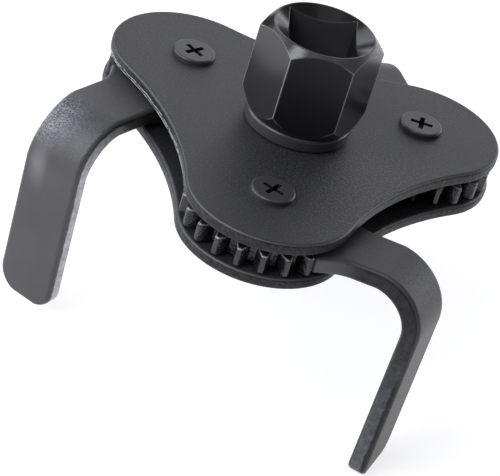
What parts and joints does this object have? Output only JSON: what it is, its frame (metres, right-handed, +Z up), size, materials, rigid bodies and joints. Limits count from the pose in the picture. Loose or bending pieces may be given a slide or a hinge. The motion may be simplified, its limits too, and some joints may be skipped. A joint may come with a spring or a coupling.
{
  "type": "oil filter wrench",
  "caption": "Two-way oil filter wrench: a square and hexagon drive head turns a sun gear that swings geared hook jaws between trilobe steel plates.",
  "frame": {"origin": "centre of the square drive's mouth, on the drive axis, level with the head's rim", "axes": "+Z up along the drive axis, away from the filter; -Y towards the front lobe and jaw, +X to the right"},
  "size_m": [0.085, 0.091, 0.0672],
  "materials": {
    "plates": "satin black oxide",
    "jaws": "satin black phosphate",
    "drive_head": "semi-gloss black oxide",
    "collar": "satin black oxide",
    "gears": "oiled black oxide",
    "screws": "satin black oxide",
    "small_steel": "dull steel"
  },
  "bodies": {
    "housing": {"top_plate": "plates", "bottom_plate": "plates", "spindle_collar": "collar", "front_pivot_sleeve": "small_steel", "front_jaw_washer": "small_steel", "front_pivot_screw": "screws", "right_pivot_sleeve": "small_steel", "right_jaw_washer": "small_steel", "right_pivot_screw": "screws", "left_pivot_sleeve": "small_steel", "left_jaw_washer": "small_steel", "left_pivot_screw": "screws"},
    "drive": {"drive_spindle": "drive_head", "sun_gear": "gears", "foot_washer": "small_steel", "retaining_ring": "small_steel"},
    "front_jaw_body": {"front_jaw": "jaws"},
    "right_jaw_body": {"right_jaw": "jaws"},
    "left_jaw_body": {"left_jaw": "jaws"}
  },
  "joints": [
    {"name": "drive_turn", "type": "hinge", "parent": "housing", "child": "drive", "pos_m": [0, 0, -0.01], "axis": [0, 0, 1], "range_deg": [-26.5, 221]},
    {"name": "front_jaw_swing", "type": "hinge", "parent": "housing", "child": "front_jaw_body", "pos_m": [0, -0.02652, -0.0275], "axis": [0, 0, 1], "range_deg": [-189.5, 22.8]},
    {"name": "right_jaw_swing", "type": "hinge", "parent": "housing", "child": "right_jaw_body", "pos_m": [0.02297, 0.01326, -0.0275], "axis": [0, 0, 1], "range_deg": [-189.5, 22.8]},
    {"name": "left_jaw_swing", "type": "hinge", "parent": "housing", "child": "left_jaw_body", "pos_m": [-0.02297, 0.01326, -0.0275], "axis": [0, 0, 1], "range_deg": [-189.5, 22.8]}
  ],
  "couplings": [
    {"joint": "front_jaw_swing", "follows": "drive_turn", "ratio": -0.85714},
    {"joint": "right_jaw_swing", "follows": "drive_turn", "ratio": -0.85714},
    {"joint": "left_jaw_swing", "follows": "drive_turn", "ratio": -0.85714}
  ]
}
